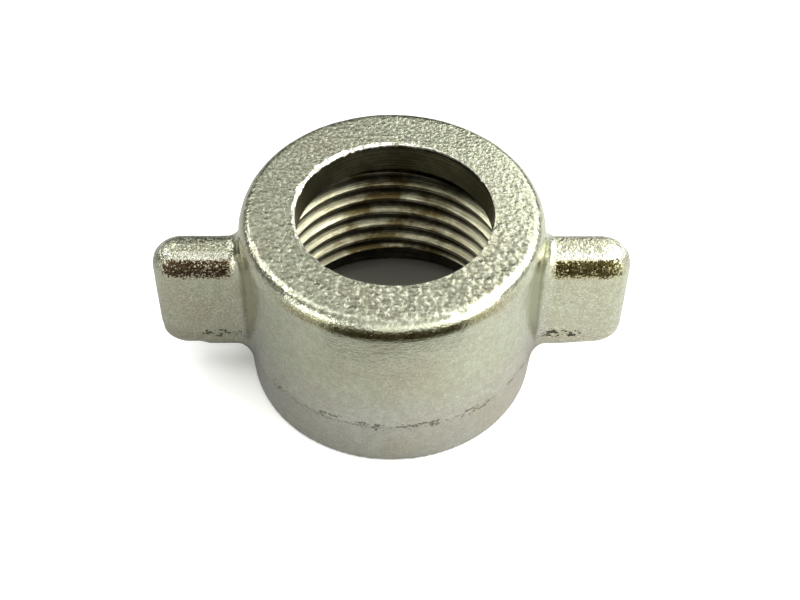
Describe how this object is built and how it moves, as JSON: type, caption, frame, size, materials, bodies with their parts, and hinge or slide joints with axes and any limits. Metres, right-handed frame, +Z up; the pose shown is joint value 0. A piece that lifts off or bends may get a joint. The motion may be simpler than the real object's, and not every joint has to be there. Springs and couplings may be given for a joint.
{
  "type": "wing nut",
  "caption": "Round union nut with short finger wings, an internal pipe thread below and a plain lip hole above.",
  "frame": {"origin": "centre of the bounding box at the height of the open bottom ring's face", "axes": "+Z up the bore axis from the threaded mouth to the lip, X along the two wings"},
  "size_m": [0.0444, 0.028, 0.0194],
  "materials": {
    "nickel_plated_brass": "nickel plated over a blasted brass forging, with a turned bore"
  },
  "bodies": {
    "root": {"wing_nut_body": "nickel_plated_brass"}
  },
  "joints": []
}
